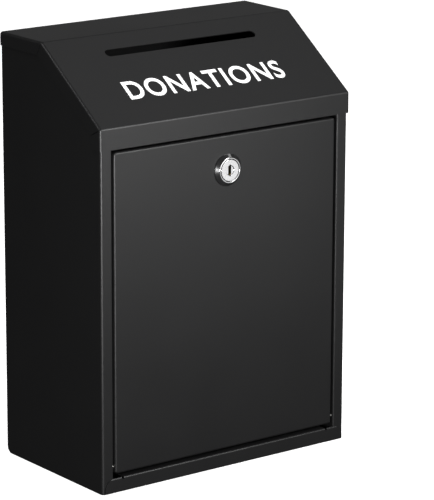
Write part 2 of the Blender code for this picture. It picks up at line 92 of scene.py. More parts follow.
# %% [markdown]
# ## The view
# A camera is a place, a direction and a lens. Here the place is found from an angle round the
# box, an angle above it and a distance, as a visitor walks round a box on a table. The long lens
# and the distance keep the box's upright edges nearly parallel.

# %% Camera
AZIMUTH, ELEVATION, ROLL = math.radians(-37.246), math.radians(14.607), math.radians(0.202)
DISTANCE = 2.089
LOOK_AT = Vector((-0.00989, FRONT, 0.16281))

backwards = Vector((math.sin(AZIMUTH) * math.cos(ELEVATION),
                    -math.cos(AZIMUTH) * math.cos(ELEVATION), math.sin(ELEVATION)))
rightwards = Vector((math.cos(AZIMUTH), math.sin(AZIMUTH), 0))
upwards = backwards.cross(rightwards)
turn = Matrix((rightwards, upwards, backwards)).transposed() @ Matrix.Rotation(ROLL, 3, "Z")

lens = bpy.data.cameras.new("camera")
lens.lens, lens.sensor_width = 213.02, 36
camera = bpy.data.objects.new("camera", lens)
camera.matrix_world = Matrix.Translation(LOOK_AT + backwards * DISTANCE) @ turn.to_4x4()
bpy.context.scene.collection.objects.link(camera)
bpy.context.scene.camera = camera
print("camera at", camera.location)

# %% [markdown]
# ## Tools for working by hand
# Everything below is made the way a person works in the modelling window: add a primitive, go
# into edit mode, select some faces or edges, and use a tool on them. A script can't click, so
# `pick` selects what passes a test on the places of its corners. Whatever was selected before is
# let go first, because a tool acts on all that is selected.

# %% Selecting and editing
def alone(obj):
    """Back to object mode, with obj the only thing selected."""
    if bpy.context.mode != "OBJECT":
        bpy.ops.object.mode_set(mode="OBJECT")
    bpy.ops.object.select_all(action="DESELECT")
    if obj:
        obj.select_set(True)
        bpy.context.view_layer.objects.active = obj
    return obj


def pick(obj, kind, test):
    """In edit mode, select the VERTs, EDGEs or FACEs whose every corner passes the test."""
    if bpy.context.mode != "EDIT_MESH":
        alone(obj)
        bpy.ops.object.mode_set(mode="EDIT")
    bpy.ops.mesh.select_mode(type=kind)
    bpy.ops.mesh.select_all(action="DESELECT")
    bm = bmesh.from_edit_mesh(obj.data)
    found = 0
    for item in {"VERT": bm.verts, "EDGE": bm.edges, "FACE": bm.faces}[kind]:
        corners = [item.co] if kind == "VERT" else [vert.co for vert in item.verts]
        if all(test(corner) for corner in corners):
            item.select_set(True)
            found += 1
    bmesh.update_edit_mesh(obj.data)
    if not found:
        raise ValueError(f"nothing was picked on {obj.name}")
    return found


def near(a, b):
    return abs(a - b) < 1e-5


alone(None)

# %% [markdown]
# Three more tools. `block` adds a cube at its size and place, `modify` adds a modifier and applies
# it at once, and `cut` is the Boolean modifier with its cutter thrown away afterwards.

# %% Blocks, modifiers and cuts
def settle(obj, name):
    """Put the object's place, turn and size into its mesh, and name it."""
    alone(obj)
    bpy.ops.object.transform_apply(location=True, rotation=True, scale=True)
    obj.name = obj.data.name = name
    return obj


def block(name, low, high):
    alone(None)
    low, high = Vector(low), Vector(high)
    bpy.ops.mesh.primitive_cube_add(size=1, location=(low + high) / 2)
    bpy.context.object.scale = high - low
    return settle(bpy.context.object, name)


def rod(name, start, end, radius, steps=48):
    """A cylinder between two points."""
    alone(None)
    start, end = Vector(start), Vector(end)
    bpy.ops.mesh.primitive_cylinder_add(vertices=steps, radius=radius, depth=(end - start).length,
                                        location=(start + end) / 2,
                                        rotation=(end - start).to_track_quat("Z", "Y").to_euler())
    return settle(bpy.context.object, name)


def modify(obj, kind, **settings):
    alone(obj)
    modifier = obj.modifiers.new(kind.lower(), kind)
    for name, value in settings.items():
        setattr(modifier, name, value)
    bpy.ops.object.modifier_apply(modifier=modifier.name)
    return obj


def cut(obj, *tools, operation="DIFFERENCE"):
    for tool in tools:
        modify(obj, "BOOLEAN", operation=operation, solver="EXACT", object=tool)
        bpy.data.objects.remove(tool)
    return obj


# %% [markdown]
# ## How folded sheet is made here
# A folded sheet is the skin of a block. Faces of the block that the sheet doesn't cover are
# deleted, the folds are given a weight, and the Bevel modifier rounds them to their radius. Then
# Solidify thickens the skin inwards to the real 0.8 mm. That keeps the sheet equally thick round
# every fold, which drawing both faces by hand would not.
#
# The Bevel modifier measures its width along the flat from the corner, so a fold that turns
# through less than a right angle gets a smaller weight for the same radius.

# %% Folding
def split(obj, faces, point, normal):
    """Cut the picked faces along a plane, and keep both halves."""
    pick(obj, "FACE", faces)
    bpy.ops.mesh.bisect(plane_co=point, plane_no=normal)


def drop(obj, faces):
    pick(obj, "FACE", faces)
    bpy.ops.mesh.delete(type="FACE")


def crease(obj, edges, weight=1.0):
    """Mark the picked edges as folds."""
    pick(obj, "EDGE", edges)
    bpy.ops.transform.edge_bevelweight(value=weight)


def fold(obj, radius=FOLD, steps=8):
    """Round the creases: one with a weight of 1 gets this radius."""
    return modify(obj, "BEVEL", limit_method="WEIGHT", width=radius, segments=steps,
                  use_clamp_overlap=False)


def thicken(obj):
    """Give the skin its thickness, inwards."""
    return modify(obj, "SOLIDIFY", thickness=SHEET, offset=-1, use_even_offset=True)


def heal(obj):
    """Merge the twin corners and close the hair-thin slivers that a Boolean can leave."""
    pick(obj, "VERT", lambda p: True)
    bpy.ops.mesh.remove_doubles(threshold=1e-6)
    bpy.ops.mesh.select_mode(type="EDGE")
    bpy.ops.mesh.select_all(action="DESELECT")
    bpy.ops.mesh.select_non_manifold()
    bpy.ops.mesh.fill_holes(sides=4)
    return alone(obj)


def smooth(obj, angle=30):
    """Smooth round the folds while the big flats stay flat: they carry the most weight."""
    alone(obj)
    bpy.ops.object.shade_smooth_by_angle(angle=math.radians(angle))
    return modify(obj, "WEIGHTED_NORMAL", keep_sharp=True, weight=100)


# %% [markdown]
# ## The hood
# The hood is one sheet: a flat top, a slope and a short lip at the front, with flaps folded down
# over the sides. It could be drawn as a profile and extruded, but then the flaps' corners would
# have to be built by hand. A block with its front corner sliced off has all the folds in place,
# and the flaps are what is left of its sides.

# %% Hood
slope_along = Vector((0, LOWER_FOLD[0] - UPPER_FOLD[0], LOWER_FOLD[1] - UPPER_FOLD[1])).normalized()
slope_out = Vector((0, slope_along.z, -slope_along.y))
slope_top = Vector((0, *UPPER_FOLD))
slope_turn = math.acos(slope_out.z)


def under_slope(distance):
    """A point on the plane that lies this far under the slope."""
    return slope_top - slope_out * distance


def make_hood():
    hood = block("hood_shell", hood_low, hood_high)
    half = hood_high.x
    pick(hood, "FACE", lambda p: True)
    bpy.ops.mesh.bisect(plane_co=slope_top, plane_no=slope_out, use_fill=True, clear_outer=True)
    drop(hood, lambda p: near(p.y, hood_high.y))
    drop(hood, lambda p: near(p.z, hood_low.z))

    outline = lambda p: (near(p.z, TOP) or near(p.y, FRONT)
                         or near((p - slope_top).dot(slope_out), 0))
    for side in (-half, half):
        crease(hood, lambda p: near(p.x, side) and outline(p))
    crease(hood, lambda p: near(p.y, UPPER_FOLD[0]) and near(p.z, TOP), math.tan(slope_turn / 2))
    crease(hood, lambda p: near(p.y, FRONT) and near(p.z, LOWER_FOLD[1]),
           math.tan((math.pi / 2 - slope_turn) / 2))
    fold(hood)

    for side in (-half, half):
        on_side = lambda p: near(p.x, side)
        split(hood, on_side, (0, 0, TOP - TOP_FLAP), (0, 0, 1))
        split(hood, on_side, under_slope(FLAP), slope_out)
        split(hood, on_side, (0, FRONT + FLAP, 0), (0, 1, 0))
        drop(hood, lambda p: (on_side(p) and p.z < TOP - TOP_FLAP + 1e-5
                              and p.y > FRONT + FLAP - 1e-5
                              and (p - under_slope(FLAP)).dot(slope_out) < 1e-5))
    return thicken(hood)


hood = make_hood()
print("hood skin:", len(hood.data.polygons), "faces")

# %% [markdown]
# The slot is a stadium, cut square through the slope. Its cutter is a block whose four upright
# edges are rounded until the ends are half circles. Where two flaps meet, the sheet was cut in a
# narrow mitre from the end of the fold to the flaps' inner corner, so a thin blade cuts it here.

# %% Slot and mitres
SLOT_LENGTH, SLOT_WIDTH, SLOT_DOWN = 132 * MM, 6.7 * MM, 18.3 * MM
MITRE = 0.45 * MM


def tilted(obj, point, angle):
    """Turn a piece made about the origin round X, and carry it to its place."""
    alone(obj)
    obj.rotation_euler = (angle, 0, 0)
    obj.location = point
    return settle(obj, obj.name)


def make_slot_cutter():
    slot = block("slot_cutter", (-SLOT_LENGTH / 2, -SLOT_WIDTH / 2, -5 * MM),
                 (SLOT_LENGTH / 2, SLOT_WIDTH / 2, 5 * MM))
    pick(slot, "EDGE", lambda p: True)
    bpy.ops.mesh.select_all(action="DESELECT")
    bm = bmesh.from_edit_mesh(slot.data)
    for edge in bm.edges:
        a, b = edge.verts
        edge.select_set(abs(a.co.z - b.co.z) > 5 * MM)
    bmesh.update_edit_mesh(slot.data)
    bpy.ops.mesh.bevel(offset=SLOT_WIDTH / 2 * 0.999, segments=12, affect="EDGES")
    return tilted(slot, slot_centre, slope_turn)


slot_centre = slope_top + slope_along * SLOT_DOWN
cut(hood, make_slot_cutter())


def blade(name, start, end, x_low, x_high):
    """A thin plate from start to end, both as (y, z), to cut a mitre with."""
    start, end = Vector((0, *start)), Vector((0, *end))
    along = end - start
    plate = block(name, (x_low, 0, -MITRE / 2), (x_high, along.length, MITRE / 2))
    return tilted(plate, start, math.atan2(along.z, along.y))


def inner_corner(upper):
    """Where the inner edges of two flaps meet, as (y, z)."""
    base = under_slope(FLAP)
    if upper:
        z = TOP - TOP_FLAP
        return base.y + (z - base.z) * slope_along.y / slope_along.z, z
    y = FRONT + FLAP
    return y, base.z + (y - base.y) * slope_along.z / slope_along.y


def mitre(name, fold, corner, side):
    """Cut from the end of the fold to past the flaps' inner corner."""
    fold, corner = Vector(fold), Vector(corner)
    along = (corner - fold).normalized()
    x_low, x_high = sorted((side * (hood_high.x - 1.5 * MM), side * (hood_high.x + MM)))
    return blade(name, fold + along * FOLD, corner + along * MM, x_low, x_high)


for side in (-1, 1):
    cut(hood, mitre("upper_mitre", UPPER_FOLD, inner_corner(True), side),
        mitre("lower_mitre", LOWER_FOLD, inner_corner(False), side))
smooth(hood)
print("hood:", len(hood.data.polygons), "faces")

# %% [markdown]
# ## The sides
# Each side is one sheet too. It starts behind the doorway as a jamb, turns to the front as a
# narrow stile, and turns again into the side itself. The left one is made first and the right one
# is its mirror image, with its own mesh. Mirroring turns a shape inside out, so the normals of
# the copy are made to point outwards again.

# %% Sides
JAMB = 12 * MM
UNDER_FOLDS = 1.8 * MM         # the side's cut edge stays inside the hood's folds
REAR_CORNER = 5 * MM
PIN_RADIUS = 1.2 * MM
pin_low, pin_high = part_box("hinge_pin_left")
HINGE = (pin_low + pin_high) / 2


def make_left_side():
    panel = block("left_side", side_low, side_high)
    face, back = side_low.y, side_high.y
    drop(panel, lambda p: near(p.y, back))
    drop(panel, lambda p: near(p.z, side_low.z))
    drop(panel, lambda p: near(p.z, side_high.z))
    on_jamb = lambda p: near(p.x, side_high.x)
    split(panel, on_jamb, (0, face + JAMB, 0), (0, 1, 0))
    drop(panel, lambda p: on_jamb(p) and p.y > face + JAMB - 1e-5)
    pick(panel, "FACE", lambda p: True)
    bpy.ops.mesh.bisect(plane_co=under_slope(UNDER_FOLDS), plane_no=slope_out, clear_outer=True)
    pick(panel, "FACE", lambda p: True)
    bpy.ops.mesh.bisect(plane_co=(0, 0, TOP - UNDER_FOLDS), plane_no=(0, 0, 1), clear_outer=True)
    pick(panel, "VERT", lambda p: near(p.y, back) and near(p.z, side_low.z))
    bpy.ops.mesh.bevel(offset=REAR_CORNER, segments=8, affect="VERTICES")
    crease(panel, lambda p: near(p.x, side_low.x) and near(p.y, face))
    crease(panel, lambda p: near(p.x, side_high.x) and near(p.y, face), TIGHT / FOLD)
    thicken(fold(panel))
    inner = side_high.x
    return cut(panel, rod("pin_hole", (inner - 2 * MM, HINGE.y, HINGE.z),
                          (inner + MM, HINGE.y, HINGE.z), PIN_RADIUS + CLEAR, 32))


def mirrored(obj, name):
    """A copy on the other side of the middle, with its faces pointing outwards."""
    copy = obj.copy()
    copy.data = obj.data.copy()
    bpy.context.scene.collection.objects.link(copy)
    copy.scale.x = -1
    settle(copy, name)
    pick(copy, "FACE", lambda p: True)
    bpy.ops.mesh.normals_make_consistent(inside=False)
    return alone(copy)


left_side = make_left_side()
right_side = smooth(mirrored(left_side, "right_side"))
smooth(left_side)
print("side:", len(left_side.data.polygons), "faces")

# %% [markdown]
# ## Back, floor and front rail
# One long strip makes the flange under the hood, the back, the floor and the rail below the door.
# It is the skin of a block once more, with a return folded inwards along the top of the rail by
# extruding its edge. The floor is notched round the jambs, and the rail's ends lap over the
# stiles as tabs with a round corner. A small cut at each end of the return let it be folded.

# %% Strip
RAIL_RETURN = 7 * MM
RAIL_TOP = 10.9 * MM
TOP_FLANGE = 12 * MM
WELD_FLANGE = 8 * MM
FLANGE_END = 12 * MM
RELIEF_X, RELIEF = 92 * MM, 1.6 * MM
TAB_END = hood_high.x - 3 * MM
TAB_RADIUS = 8 * MM
TAB_GAP = 0.15 * MM            # the tab is freed from the stile behind it
WALL_HOLE_X, WALL_HOLE_Z, WALL_HOLE = 70 * MM, 262 * MM, 2.75 * MM
DOORWAY = -side_high.x
JAMB_BACK = side_low.y + JAMB + CLEAR
strip_half = strip_high.x - 1e-9


def make_strip():
    low = Vector((-strip_half, FRONT, strip_low.z))
    high = Vector((strip_half, BACK, strip_high.z))
    strip = block("strip", low, high)
    on_top = lambda p: near(p.z, high.z)
    on_front = lambda p: near(p.y, low.y)
    split(strip, on_top, (0, BACK - TOP_FLANGE, 0), (0, 1, 0))
    drop(strip, lambda p: on_top(p) and p.y < BACK - TOP_FLANGE + 1e-5)
    split(strip, on_front, (0, 0, RAIL_TOP), (0, 0, 1))
    drop(strip, lambda p: on_front(p) and p.z > RAIL_TOP - 1e-5)
    pick(strip, "EDGE", lambda p: on_front(p) and near(p.z, RAIL_TOP))
    bpy.ops.mesh.extrude_region_move(TRANSFORM_OT_translate={"value": (0, RAIL_RETURN, 0)})
    crease(strip, lambda p: near(p.y, BACK) and near(p.z, low.z))
    for y, z in ((BACK, high.z), (low.y, low.z), (low.y, RAIL_TOP)):
        crease(strip, lambda p: near(p.y, y) and near(p.z, z), TIGHT / REAR_CORNER)
    fold(strip, REAR_CORNER)

    drop(strip, lambda p: near(p.x, low.x))
    drop(strip, lambda p: near(p.x, high.x))
    return thicken(strip)


def trim_strip(strip):
    behind_rail = FRONT + SHEET
    far = 20 * MM
    for side in (-1, 1):
        def chunk(name, x0, x1, low, high):
            near_x, far_x = sorted((side * x0, side * x1))
            return block(name, (near_x, *low), (far_x, *high))

        return_end = RELIEF_X - RELIEF / 2
        corner = chunk("tab_corner", TAB_END - TAB_RADIUS, TAB_END + far,
                       (FRONT - far, RAIL_TOP - TAB_RADIUS), (behind_rail + TAB_GAP, far))
        centre = (side * (TAB_END - TAB_RADIUS), RAIL_TOP - TAB_RADIUS)
        cut(corner, rod("round", (centre[0], FRONT - 2 * far, centre[1]),
                        (centre[0], FRONT + far, centre[1]), TAB_RADIUS, 96))
        web = strip_half - SHEET
        for flange in (
                chunk("back_flange", web, strip_half, (BACK - WELD_FLANGE, FLANGE_END),
                      (BACK - SHEET / 2, TOP - FLANGE_END)),
                chunk("floor_flange", web, strip_half, (JAMB_BACK + 2 * SHEET, SHEET / 2),
                      (BACK - FLANGE_END, WELD_FLANGE))):
            cut(strip, flange, operation="UNION")
        cut(strip,
            chunk("jamb_notch", DOORWAY - CLEAR, DOORWAY + far,
                  (behind_rail, -far), (JAMB_BACK, RAIL_TOP / 2)),
            chunk("return_end", return_end, DOORWAY + far,
                  (behind_rail, RAIL_TOP / 2), (JAMB_BACK, RAIL_TOP + far)),
            chunk("tab_end", TAB_END, TAB_END + far,
                  (FRONT - far, -far), (behind_rail + TAB_GAP, RAIL_TOP + far)),
            chunk("relief", return_end, return_end + RELIEF,
                  (FRONT - far, RAIL_TOP - RELIEF), (JAMB_BACK, RAIL_TOP + far)),
            corner,
            rod("wall_hole", (side * WALL_HOLE_X, BACK - far, WALL_HOLE_Z),
                (side * WALL_HOLE_X, BACK + far, WALL_HOLE_Z), WALL_HOLE, 48))
    return strip


strip = smooth(heal(trim_strip(make_strip())))
print("strip:", len(strip.data.polygons), "faces")

# %% [markdown]
# ## The header
# Across the top of the doorway lies a strip with a Z-shaped section. The door's top edge shuts
# against its drop, and the lock's cam hooks up behind that drop. Two faces of a block make the
# upright and the shelf, and extruding the shelf's rear edge downwards makes the drop.

# %% Header
header_low, header_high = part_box("door_header")
HEADER_DROP = 8.9 * MM


def make_header():
    shelf = header_low.z + HEADER_DROP
    strike = header_high.y - SHEET
    header = block("header", (header_low.x, header_low.y, shelf),
                   (header_high.x, strike, header_high.z))
    for gone in (lambda p: near(p.y, strike), lambda p: near(p.z, header_high.z),
                 lambda p: near(p.x, header_low.x), lambda p: near(p.x, header_high.x)):
        drop(header, gone)
    pick(header, "EDGE", lambda p: near(p.y, strike) and near(p.z, shelf))
    bpy.ops.mesh.extrude_region_move(TRANSFORM_OT_translate={"value": (0, 0, -HEADER_DROP)})
    crease(header, lambda p: near(p.z, shelf))
    return thicken(fold(header, TIGHT))


header = smooth(make_header())
print("header:", len(header.data.polygons), "faces")

# %% [markdown]
# ## The door
# The door is a shallow tray, pressed from one sheet with its four edges folded back and its
# corners closed. The skin of a block with its back off is just that. The front edges get the
# fold's radius and the corners a larger one. The hole for the lock has a flat on each side, which
# stops the lock from turning, so its cutter is a cylinder sliced by two planes.

# %% Door
DOOR_EDGE, DOOR_CORNER = 1.8 * MM, 2.5 * MM
BARREL, BARREL_FLAT = 9.3 * MM, 8.1 * MM
WIDE = 2 * hood_high.x         # a cutter this long passes both sides of the door
lock_axis = Vector((0, door_low.y, (lock_low.z + lock_high.z) / 2))


def double_d(name, radius, flat, front, back):
    """A rod along Y with a flat on its left and its right."""
    centre_front = lock_axis + Vector((0, front, 0))
    centre_back = lock_axis + Vector((0, back, 0))
    tool = rod(name, centre_front, centre_back, radius, 96)
    for side in (-1, 1):
        pick(tool, "FACE", lambda p: True)
        bpy.ops.mesh.bisect(plane_co=(side * flat, 0, 0), plane_no=(side, 0, 0), use_fill=True,
                            clear_outer=True)
    return alone(tool)


def make_door():
    door = block("door_tray", door_low, door_high)
    drop(door, lambda p: near(p.y, door_high.y))
    crease(door, lambda p: near(p.y, door_low.y), DOOR_EDGE / DOOR_CORNER)
    for x in (door_low.x, door_high.x):
        for z in (door_low.z, door_high.z):
            crease(door, lambda p: near(p.x, x) and near(p.z, z))
    thicken(fold(door, DOOR_CORNER))
    return cut(door,
               rod("pin_holes", (-WIDE, HINGE.y, HINGE.z), (WIDE, HINGE.y, HINGE.z),
                   PIN_RADIUS + CLEAR, 32),
               double_d("lock_hole", BARREL + CLEAR, BARREL_FLAT + CLEAR,
                        -10 * MM, 10 * MM))


door = smooth(make_door())
print("door:", len(door.data.polygons), "faces")

# %% [markdown]
# ## Turned pieces
# Pins, lock bodies, washers and screws are round. On a lathe they would be turned from a profile.
# Here a ring grows along its axis: each step extrudes it and resizes it to the next radius. The
# rings are written as (radius, distance), as a turner reads a drawing.

# %% Turning
def turned(name, rings, origin, axis="Y", steps=96, hollow=False):
    """Extrude and resize a ring through every (radius, distance) along X or Y from the origin."""
    alone(None)
    tilt = {"X": (0, math.pi / 2, 0), "Y": (math.pi / 2, 0, 0)}[axis]
    unit = Vector((1, 0, 0)) if axis == "X" else Vector((0, 1, 0))
    radius, along = rings[0]
    bpy.ops.mesh.primitive_circle_add(vertices=steps, radius=radius, rotation=tilt,
                                      location=Vector(origin) + unit * along)
    piece = settle(bpy.context.object, name)
    bpy.ops.object.mode_set(mode="EDIT")
    bpy.ops.mesh.select_mode(type="EDGE")
    bpy.ops.mesh.select_all(action="SELECT")
    if not hollow:
        bpy.ops.mesh.edge_face_add()
        bpy.ops.mesh.select_all(action="SELECT")
    for new_radius, new_along in rings[1:]:
        move = unit * (new_along - along)
        bpy.ops.mesh.extrude_region_move(TRANSFORM_OT_translate={"value": tuple(move)})
        grow = new_radius / radius
        keep = (1, grow, grow) if axis == "X" else (grow, 1, grow)
        bpy.ops.transform.resize(value=keep, center_override=Vector(origin) + unit * new_along)
        radius, along = new_radius, new_along
    if hollow:
        bpy.ops.mesh.select_mode(type="EDGE")
        bpy.ops.mesh.select_all(action="DESELECT")
        bpy.ops.mesh.select_non_manifold()
        bpy.ops.mesh.bridge_edge_loops()
    bpy.ops.mesh.select_all(action="SELECT")
    bpy.ops.mesh.remove_doubles(threshold=1e-7)
    bpy.ops.mesh.normals_make_consistent(inside=False)
    return alone(piece)


# %% [markdown]
# ## Hinge pins
# The door turns on two short rivets near its lower corners. Each has a head inside the door and a
# tail that was upset behind the jamb.

# %% Pins
DOOR_HALF = door_high.x


def make_pin(name, side):
    head = DOOR_HALF - SHEET - CLEAR
    tail = DOORWAY + SHEET + CLEAR
    rings = [(0.7, head - 1.2 * MM), (1.2, head - 1.15 * MM), (1.6, head - 0.9 * MM),
             (1.8, head - 0.5 * MM), (1.8, head), (PIN_RADIUS / MM, head),
             (PIN_RADIUS / MM, tail), (2.0, tail), (2.0, tail + 0.3 * MM),
             (1.7, tail + 0.65 * MM), (1.1, tail + 0.8 * MM)]
    return turned(name, [(radius * MM, side * along) for radius, along in rings],
                  (0, HINGE.y, HINGE.z), "X", 40)


pins = [smooth(make_pin("pin_left", -1)), smooth(make_pin("pin_right", 1))]
print("pins:", [len(pin.data.polygons) for pin in pins])

# %% [markdown]
# ## The lock's body
# A cam lock has a die-cast body: a bright bezel that stays outside the door, and a threaded
# barrel with two flats that goes through it. The bezel's flank leans in towards its face, whose
# rim is rounded, so it mirrors the room in a ring of light and dark. The thread is a row of
# small ridges, which is all that shows of it between the nut and the cam.

# %% Lock body
PLUG, PLUG_HEAD, HEAD_BACK = 6.2 * MM, 7.8 * MM, -1.4 * MM
BARREL_END, STOP_STEP, STOP_EDGE = 14.4 * MM, 13 * MM, 1.8 * MM
bezel_front = lock_low.y - lock_axis.y


def make_lock_body():
    front = bezel_front
    seat = PLUG_HEAD + CLEAR
    rings = [(PLUG + CLEAR, BARREL_END), (PLUG + CLEAR, HEAD_BACK + CLEAR),
             (seat, HEAD_BACK + CLEAR), (seat, front + 0.35 * MM),
             (seat + 0.06 * MM, front + 0.14 * MM), (seat + 0.2 * MM, front + 0.02 * MM),
             (seat + 0.35 * MM, front), (9.05 * MM, front), (9.25 * MM, front + 0.05 * MM),
             (9.42 * MM, front + 0.17 * MM), (9.53 * MM, front + 0.35 * MM),
             (11.38 * MM, -1.0 * MM), (11.55 * MM, -0.82 * MM), (11.65 * MM, -0.62 * MM),
             (11.65 * MM, -CLEAR), (BARREL, -CLEAR), (BARREL, 2.6 * MM)]
    pitch, ridge = 1 * MM, 0.35 * MM
    along = 2.6 * MM
    while along + pitch < BARREL_END - 0.3 * MM:
        rings += [(BARREL - ridge, along + pitch / 2), (BARREL, along + pitch)]
        along += pitch
    rings += [(BARREL - 0.4 * MM, BARREL_END)]
    body = turned("lock_body", rings, lock_axis, "Y", 128, hollow=True)
    far = 20 * MM
    for side in (-1, 1):
        low, high = sorted((side * BARREL_FLAT, side * far))
        cut(body, block("flat", lock_axis + Vector((low, -CLEAR, -far)),
                        lock_axis + Vector((high, far, far))))
    return cut(body, block("quarter_turn", lock_axis + Vector((-far, STOP_STEP, -far)),
                           lock_axis + Vector((STOP_EDGE, far, STOP_EDGE))))


lock_body = smooth(make_lock_body(), 40)
print("lock body:", len(lock_body.data.polygons), "faces")

# %% [markdown]
# ## The lock's plug
# The plug turns in the body. Its face has a shallow round recess that guides the key, and the
# keyway, a slot with pointed ends. Rings round the face give it the fine step where it meets the
# body. The slots for the flat tumblers cross it behind.

# %% Plug
plug_low, plug_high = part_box("lock_plug")
RECESS, RECESS_DEPTH = 3.5 * MM, 0.6 * MM
KEYWAY_HALF, KEYWAY_TALL, KEYWAY_END = 1.3 * MM, 4.4 * MM, 10.4 * MM
SHANK, SHANK_ROOT = 3.5 * MM, 2.2 * MM
SCREW_RADIUS = 1.9 * MM


def make_keyway():
    """A slot drawn as a block whose ends are drawn out to points."""
    shoulder = KEYWAY_TALL - KEYWAY_HALF
    slot = block("keyway", lock_axis + Vector((-KEYWAY_HALF, -10 * MM, -shoulder)),
                 lock_axis + Vector((KEYWAY_HALF, KEYWAY_END, shoulder)))
    for side in (-1, 1):
        z = lock_axis.z + side * shoulder
        pick(slot, "FACE", lambda p: near(p.z, z))
        bpy.ops.mesh.extrude_region_move(
            TRANSFORM_OT_translate={"value": (0, 0, side * KEYWAY_HALF)})
        bpy.ops.transform.resize(value=(0.06, 1, 1),
                                 center_override=lock_axis + Vector((0, 0, side * KEYWAY_TALL)))
    return alone(slot)


def make_plug():
    face = plug_low.y - lock_axis.y
    rings = [(RECESS - 0.25 * MM, face + RECESS_DEPTH), (RECESS - 0.08 * MM, face + 0.5 * MM),
             (RECESS, face + 0.3 * MM), (RECESS + 0.05 * MM, face + 0.12 * MM),
             (RECESS + 0.2 * MM, face), (PLUG_HEAD - 0.3 * MM, face),
             (PLUG_HEAD - 0.12 * MM, face + 0.05 * MM), (PLUG_HEAD, face + 0.2 * MM),
             (PLUG_HEAD, HEAD_BACK), (PLUG, HEAD_BACK), (PLUG, STOP_STEP)]
    plug = turned("plug", rings, lock_axis, "Y", 128)
    cut(plug, block("shank", lock_axis + Vector((-SHANK, STOP_STEP - SHANK_ROOT, -SHANK)),
                    Vector((SHANK, plug_high.y, lock_axis.z + SHANK))), operation="UNION")
    cut(plug, make_keyway())
    for index in range(1, 6):
        low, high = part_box(f"wafer_{index}")
        room = Vector((CLEAR, CLEAR, 20 * MM))
        cut(plug, block("wafer_slot", low - room, high + room))
    screw_low, screw_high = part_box("cam_screw")
    axis_end = Vector((0, screw_high.y, lock_axis.z))
    return cut(plug, rod("screw_hole", (0, screw_low.y - CLEAR, lock_axis.z), axis_end,
                         SCREW_RADIUS + CLEAR, 40))


plug = smooth(heal(make_plug()), 40)
print("plug:", len(plug.data.polygons), "faces")

# %% [markdown]
# ## Nut, washers, cam and screw
# Behind the door a hexagonal nut with chamfered corners pulls the lock tight over a toothed
# washer. The cam is a stamped arm on the plug's square shank, with its edges rounded by the
# press, held by a screw with a cross recess.

# %% Nut
def make_nut():
    low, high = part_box("lock_nut")
    corner = high.x
    clear_of_ends = 0.9 * MM
    start, end = low.y - lock_axis.y, high.y - lock_axis.y
    nut = turned("nut", [(corner - 1.3 * MM, start), (corner, start + 0.7 * MM),
                         (corner, end - 0.7 * MM), (corner - 1.3 * MM, end)],
                 lock_axis, "Y", 96)
    flat = corner * math.cos(math.radians(30))
    for index in range(6):
        angle = math.radians(30 + 60 * index)
        out = Vector((math.cos(angle), 0, math.sin(angle)))
        pick(nut, "FACE", lambda p: True)
        bpy.ops.mesh.bisect(plane_co=lock_axis + out * flat, plane_no=out, use_fill=True,
                            clear_outer=True)
    hole = rod("thread", lock_axis + Vector((0, start - clear_of_ends, 0)),
               lock_axis + Vector((0, end + clear_of_ends, 0)), BARREL + CLEAR, 96)
    return cut(nut, hole)


nut = smooth(make_nut())
print("nut:", len(nut.data.polygons), "faces")

# %% [markdown]
# The toothed washer is a disc whose rim is pressed into small teeth: every other face of the rim
# is extruded outwards and narrowed.

# %% Toothed washer
def make_toothed_washer():
    low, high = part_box("lock_washer")
    start, end = low.y - lock_axis.y, high.y - lock_axis.y
    root, tip = 10.9 * MM, high.x - 1e-6
    washer = turned("toothed_washer", [(root, start), (root, end)], lock_axis, "Y", 36)
    bpy.ops.object.mode_set(mode="EDIT")
    bpy.ops.mesh.select_mode(type="FACE")
    bpy.ops.mesh.select_all(action="DESELECT")
    bm = bmesh.from_edit_mesh(washer.data)
    rim = [face for face in bm.faces if abs(face.normal.y) < 0.5]
    rim.sort(key=lambda face: math.atan2(face.normal.z, face.normal.x))
    for face in rim[::2]:
        face.select_set(True)
    bmesh.update_edit_mesh(washer.data)
    bpy.ops.mesh.extrude_faces_move(TRANSFORM_OT_shrink_fatten={"value": tip - root})
    alone(washer)
    hole = rod("washer_hole", lock_axis + Vector((0, start - MM, 0)),
               lock_axis + Vector((0, end + MM, 0)), BARREL + CLEAR, 96)
    return cut(washer, hole)


toothed_washer = smooth(make_toothed_washer())
print("washer:", [round(size / MM, 2) for size in toothed_washer.dimensions], "mm")

# %% [markdown]
# The cam is the arm that hooks behind the header. It could be drawn as an outline and extruded, but
# two rods and the block between them are joined faster, and their round ends stay true circles.
# The screw is turned like the other round pieces, with its thread as small ridges.

